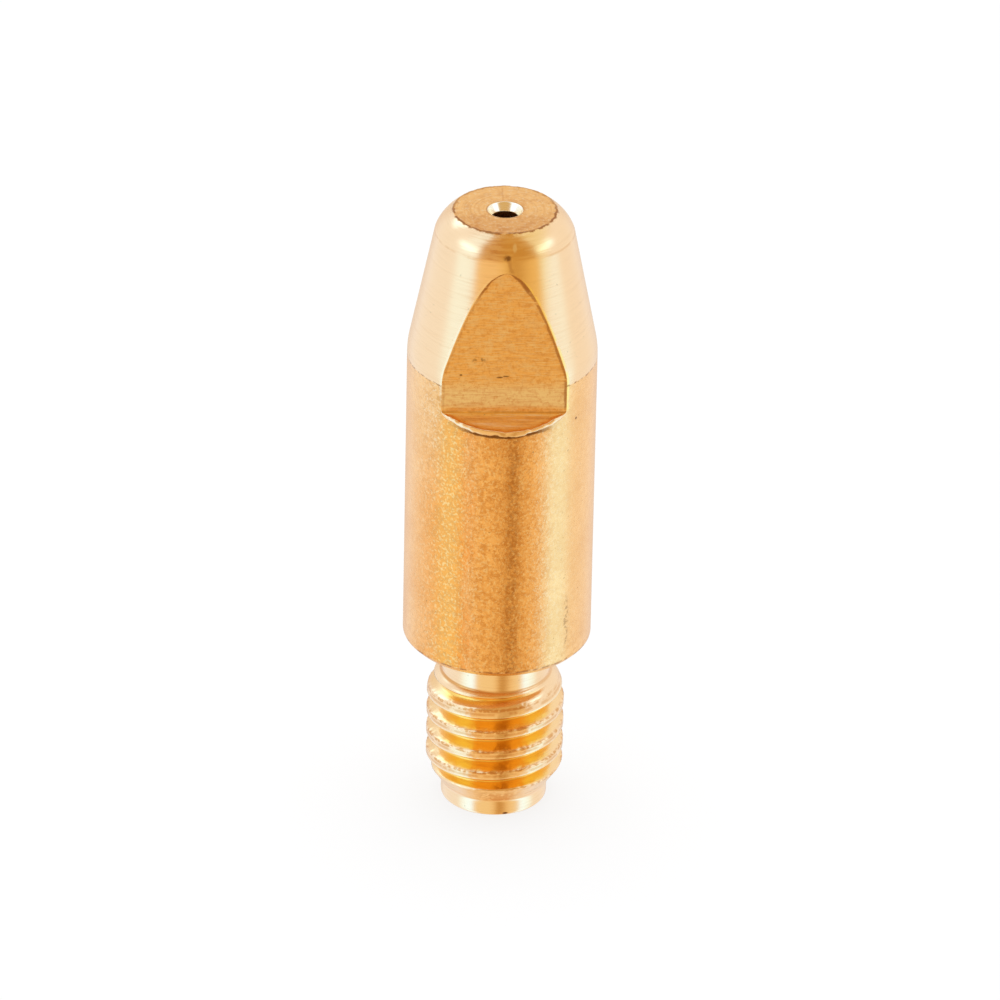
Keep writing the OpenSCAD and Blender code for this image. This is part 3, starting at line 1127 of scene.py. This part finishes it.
        # Patches of tarnish, and every face made darker towards the front.
        worn = self.grain(2.0, 3.0, 0.6).ramp(0.46, 0.64) * 0.4 + 0.5 * y.ramp(0.2, -1.6)
        on_nose = self.z.ramp(*NOSE_FACE_BEGIN)
        mouth_rim = from_axis.line(tip.mouth_radius + 0.03, 0.01, 0.06) * self.broken(3.0, 0.42) * on_nose
        # Painted reflection: a thin dark line across the nose face, from the mouth towards the back.
        thin_line = (x + self.wobble(0.08, 3.0, 2.0)).line(-0.07, 0.01, 0.06) * on_nose
        thin_line = thin_line * y.line(1.4, 0.4, 0.75)
        base = self.layers(
            look.milled_copper,
            (marks.ramp(0.44, 0.66) * 0.35, look.tarnish),
            (worn, look.tarnish),
            (grain.ramp(0.5, 0.64) * 0.42, look.rubbed_copper),
            (thin_line * 0.45, look.tarnish),
            (most(self.nose_burr(), mouth_rim * 0.5), look.burnt_edge),
        )
        return base, look.milled_roughness - 0.02 + 0.1 * grain, marks * 0.007 + grain * 0.01

    def in_groove(self):
        """1 in the thread groove, 0 on what is left of the thread blank."""
        tip, z = self.tip, self.z
        above = (z - tip.round_height).at_least(0.0)
        rounded = (tip.thread_end_radius**2 - above * above).at_least(0.0) ** 0.5 + tip.round_centre
        blank = rounded.at_most((z - tip.pilot_length) * tip.lead_slope + tip.pilot_radius)
        depth = blank - self.from_axis()
        return depth.ramp(0.05, 0.16) * z.ramp(tip.pilot_length, tip.pilot_length + 0.3)

    def across_thread(self):
        """Place across the thread in pitches, 0 in the middle of a groove and negative below it."""
        turns = self.turn(self.x, self.y) * (0.5 / math.pi)
        winding = (self.z - self.tip.groove_height) / self.tip.thread_pitch - turns
        return winding - self.math("ROUND", winding)

    def cut_thread(self):
        """Bright grooves, paler towards the sides as painted reflection and with painted shade low in
        front, and torn crests with a painted highlight along their lower edge.
        """
        look, tip, x, z = self.look, self.tip, self.x, self.z
        base, roughness, height = self.turned_skin()
        across = self.across_thread()
        wound = z.ramp(tip.lead_end - 0.5, tip.lead_end)
        wound = wound * (1 - z.ramp(tip.neck_end - 0.6, tip.neck_end - 0.3))
        crest = abs(across).ramp(0.42, 0.47) * self.broken(2.0, 0.44)
        torn = across.line(-0.35, 0.03, 0.09) * self.broken(5.0, 0.5)
        # A painted highlight along the lower edge of each crest.
        lower_edge = across.line(0.34, 0.03, 0.08)
        collar = z.line(tip.neck_end, 0.03, 0.09) * (0.5 + 0.4 * x.ramp(0.0, -1.0))
        lead = z.ramp(tip.pilot_length, tip.pilot_length + 0.1) * (1 - z.ramp(*LEAD_BAND_END))
        lead = lead * x.line(0.1, 0.3, 1.2) * self.broken(4.0, 0.46)
        blank = self.layers(
            base,
            (most(crest * 0.5, torn * 0.8) * wound, look.tarnish),
            (lower_edge * wound * 0.6, look.rubbed_copper),
            (most(collar, lead * 0.7), look.tarnish),
        )
        streaks = self.grain((0.7, 0.7, 14.0), 3.0, 0.6)
        # Painted shade: a broken darker strip low in each groove in front, just right of the middle.
        painted_groove_shade = x.line(0.22, 0.1, 0.55) * self.y.ramp(0.0, -1.0)
        painted_groove_shade = painted_groove_shade * across.ramp(0.05, -0.2) * self.broken(3.0, 0.42)
        groove = self.layers(
            # The grooves' deeper orange is partly painted reflection.
            look.thread_copper,
            (streaks.ramp(0.5, 0.75) * 0.35, look.tarnish),
            # Painted reflection: the grooves turn paler towards both sides, where they would mirror the
            # light walls.
            (abs(x).ramp(1.9, 2.5) * 0.75, look.turned_copper),
            (painted_groove_shade * 0.5, look.burnt_edge),
        )
        return self.mix(self.in_groove(), blank, groove), roughness, height

    def wire_way(self):
        """Bore and funnel, painted dark as painted shade deep inside them, and streaked by the wire."""
        look = self.look
        streaks = self.grain((0.8, 0.8, 8.0), 3.0)
        base = self.mix(streaks.ramp(0.3, 0.7), look.burnt_edge, look.soot)
        return base, BORE_ROUGHNESS + 0.2 * streaks, streaks * 0.006

    def wire_mouth(self):
        """Countersink polished by the wire, its pale colour partly a painted highlight."""
        look = self.look
        streaks = self.grain((1.5, 1.5, 16.0), 3.0)
        base = self.mix(streaks.ramp(0.45, 0.7) * 0.4, look.mouth_copper, look.turned_copper)
        return base, look.turned_roughness + 0.1 * streaks, streaks * 0.004


def copper_finish(name, look, tip):
    """A bare copper material, painted by the method of its name."""
    material = bpy.data.materials.new(name)
    graph = CopperFinish(material, look, tip)
    base, roughness, height = getattr(graph, name)()
    bump = graph.node("ShaderNodeBump", None, {"Strength": 1.0, "Distance": MM, "Height": height})
    sockets = {"Base Color": base, "Metallic": 1.0, "Roughness": roughness, "Normal": bump.outputs[0]}
    shader = graph.node("ShaderNodeBsdfPrincipled", None, sockets)
    graph.node("ShaderNodeOutputMaterial", None, {"Surface": shader.outputs[0]})
    return material


class CONTACTTIP_OT_turn_tip(bpy.types.Operator):
    """Turns the tip with its thread, wrench flats and wire bore"""

    bl_idname = "contact_tip.turn_tip"
    bl_label = "Turn the tip"

    def execute(self, context):
        scene = context.scene
        tip = TipShape(scene.contact_tip_sizes)
        look = TipLook(scene.contact_tip_finishes)
        mesh = tip_mesh(tip)
        for name in FINISH_NAMES:
            mesh.materials.append(copper_finish(name, look, tip))
        piece = bpy.data.objects.new("contact_tip_turned", mesh)
        scene.collection.objects.link(piece)
        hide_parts("contact_tip")
        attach(piece, "root")
        return {"FINISHED"}


FLOOR_REACH = 1.5
FLOOR_DROP = 0.01 * MM
# How much of the floor's colour the camera sees as plain white.
FLOOR_WHITE = 0.8
PLAIN_WHITE = (1.0, 1.0, 1.0, 1.0)


def lay_floor(scene, studio):
    """A pale floor that stays white to the camera and keeps the tip's shadow."""
    reach, drop = FLOOR_REACH, -FLOOR_DROP
    mesh = bpy.data.meshes.new("studio_floor")
    corners = [(-reach, -reach, drop), (reach, -reach, drop), (reach, reach, drop), (-reach, reach, drop)]
    mesh.from_pydata(corners, [], [(0, 1, 2, 3)])
    material = bpy.data.materials.new("pale_floor")
    graph = Graph(material)
    paper = graph.noise(graph.millimetres(), 0.3, 2.0)
    worn = [part * 0.98 for part in studio.floor_colour]
    base = graph.mix(paper, opaque(studio.floor_colour), opaque(worn))
    sockets = {"Base Color": base, "Roughness": 1.0, "Specular IOR Level": 0.0}
    matt = graph.node("ShaderNodeBsdfPrincipled", None, sockets).outputs[0]
    glow = graph.node("ShaderNodeEmission", None, {"Color": PLAIN_WHITE, "Strength": 1.0}).outputs[0]
    seen = Amount(graph, graph.node("ShaderNodeLightPath").outputs["Is Camera Ray"])
    both = graph.node("ShaderNodeMixShader", None, {0: seen * FLOOR_WHITE, 1: matt, 2: glow})
    graph.node("ShaderNodeOutputMaterial", None, {"Surface": both.outputs[0]})
    mesh.materials.append(material)
    floor = bpy.data.objects.new("studio_floor", mesh)
    floor.visible_glossy = False
    scene.collection.objects.link(floor)


# Turns round the studio, in degrees from the front: where the gap between the walls begins and ends,
# and the middle, core and reach of the walls' edges and of the lamps on them.
GAP_BEGIN = -51.0, -39.0
GAP_END = 47.0, 60.0
LEFT_EDGE = -64.0, 8.0, 24.0
RIGHT_EDGE = 74.0, 8.0, 24.0
LEFT_LAMP = -68.0, 10.0, 28.0
RIGHT_LAMP = 74.0, 8.0, 26.0
BACK_LAMP = -131.0, 6.0, 16.0
BACK_WALL = 135.0, 165.0
# Heights of the lamps, as the upward part of a direction: middle, core and reach.
WALL_LAMP_HEIGHT = 0.46, 0.02, 0.17
BACK_LAMP_HEIGHT = 0.66, 0.14, 0.3


def studio_room(graph, studio):
    """Colour of the room that the copper mirrors."""
    x, y, z = graph.parts(graph.node("ShaderNodeTexCoord").outputs["Generated"])
    turn = graph.turn(x, y) * math.degrees(1.0)
    higher = z.ramp(-0.35, 0.0)
    gap = turn.ramp(*GAP_BEGIN) * (1 - turn.ramp(*GAP_END))
    shade = turn.ramp(-2.0, 10.0) * (1 - turn.ramp(13.0 + 4.0 * higher, 32.0 + 18.0 * higher))
    shade = most(shade * (1 - 0.3 * higher), z.ramp(0.05, 0.4) * 0.8)
    left_edge = turn.line(*LEFT_EDGE) * (1 - 0.45 * higher)
    right_edge = turn.line(*RIGHT_EDGE) * (1 - higher)
    wall_lamps = most(turn.line(*LEFT_LAMP), turn.line(*RIGHT_LAMP)) * z.line(*WALL_LAMP_HEIGHT)
    back_lamp = turn.line(*BACK_LAMP) * z.line(*BACK_LAMP_HEIGHT)
    return graph.layers(
        opaque(studio.wall_light),
        (turn.ramp(-10.0, 50.0), opaque(studio.right_light)),
        (most(left_edge, right_edge), opaque(studio.edge_light)),
        (most(wall_lamps, back_lamp), opaque(studio.lamp_light)),
        (abs(turn).ramp(*BACK_WALL), opaque(studio.back_light)),
        (gap, graph.mix(shade, opaque(studio.gap_light), opaque(studio.shade_light))),
        (z.ramp(-0.84, -0.98), opaque(studio.ground_light)),
    )


def light_studio(scene, studio):
    """A white studio whose light walls, with a warm gap between them, show in the copper alone."""
    world = bpy.data.worlds.new("white_studio")
    graph = Graph(world)
    sockets = {"Color": studio_room(graph, studio), "Strength": 1.0}
    walls = graph.node("ShaderNodeBackground", None, sockets).outputs[0]
    white = graph.node("ShaderNodeBackground", None, {"Color": PLAIN_WHITE, "Strength": 1.0}).outputs[0]
    rays = graph.node("ShaderNodeLightPath").outputs
    plain = most(Amount(graph, rays["Is Camera Ray"]), Amount(graph, rays["Is Diffuse Ray"]))
    both = graph.node("ShaderNodeMixShader", None, {0: plain, 1: walls, 2: white})
    graph.node("ShaderNodeOutputWorld", None, {"Surface": both.outputs[0]})
    scene.world = world


LAMP_SIZE = 0.25
LAMP_WATTS = 0.6
LAMP_PLACE = (0.0, 0.05, 0.4)


def hang_lamp(scene):
    """A soft round lamp above the tip."""
    light = bpy.data.lights.new("overhead_lamp", "AREA")
    light.shape = "DISK"
    light.size = LAMP_SIZE
    light.energy = LAMP_WATTS
    lamp = bpy.data.objects.new("overhead_lamp", light)
    lamp.location = LAMP_PLACE
    lamp.visible_glossy = False
    scene.collection.objects.link(lamp)


def set_camera(scene, studio):
    """The camera at the photograph's angle."""
    azimuth, elevation = studio.camera_azimuth, studio.camera_elevation
    level_reach = math.cos(elevation)
    back = Vector((math.sin(azimuth) * level_reach, -math.cos(azimuth) * level_reach, math.sin(elevation)))
    data = bpy.data.cameras.new("studio_camera")
    data.lens = studio.camera_lens
    data.sensor_width = studio.camera_sensor
    camera = bpy.data.objects.new("studio_camera", data)
    camera.location = Vector((studio.aim_side, 0.0, studio.aim_height)) + back * studio.camera_distance
    camera.rotation_mode = "QUATERNION"
    level = (-back).to_track_quat("-Z", "Y")
    camera.rotation_quaternion = level @ Quaternion((0.0, 0.0, 1.0), studio.camera_roll)
    scene.collection.objects.link(camera)
    scene.camera = camera


class CONTACTTIP_OT_set_stage(bpy.types.Operator):
    """Lays the floor and sets up the light and the camera"""

    bl_idname = "contact_tip.set_stage"
    bl_label = "Set the stage"

    def execute(self, context):
        scene = context.scene
        studio = scene.contact_tip_studio
        lay_floor(scene, studio)
        light_studio(scene, studio)
        hang_lamp(scene)
        set_camera(scene, studio)
        scene.view_settings.view_transform = "Standard"
        return {"FINISHED"}


class CONTACTTIP_PT_maker(bpy.types.Panel):
    """Sizes, finishes and studio of the contact tip"""

    bl_label = "Contact tip"
    bl_space_type = "VIEW_3D"
    bl_region_type = "UI"
    bl_category = "Contact tip"

    def draw(self, context):
        scene = context.scene
        for group in (scene.contact_tip_sizes, scene.contact_tip_finishes, scene.contact_tip_studio):
            box = self.layout.box()
            for name in type(group).__annotations__:
                box.prop(group, name)
        for operator in (CONTACTTIP_OT_turn_tip, CONTACTTIP_OT_set_stage):
            self.layout.operator(operator.bl_idname)


CLASSES = (
    TipSizes, TipFinishes, StudioSettings,
    CONTACTTIP_OT_turn_tip, CONTACTTIP_OT_set_stage, CONTACTTIP_PT_maker,
)


def register():
    for made in CLASSES:
        bpy.utils.register_class(made)
    bpy.types.Scene.contact_tip_sizes = PointerProperty(type=TipSizes)
    bpy.types.Scene.contact_tip_finishes = PointerProperty(type=TipFinishes)
    bpy.types.Scene.contact_tip_studio = PointerProperty(type=StudioSettings)


def unregister():
    del bpy.types.Scene.contact_tip_studio
    del bpy.types.Scene.contact_tip_finishes
    del bpy.types.Scene.contact_tip_sizes
    for made in reversed(CLASSES):
        bpy.utils.unregister_class(made)


def main():
    register()
    bpy.ops.contact_tip.turn_tip()
    bpy.ops.contact_tip.set_stage()


if __name__ == "__main__":
    main()
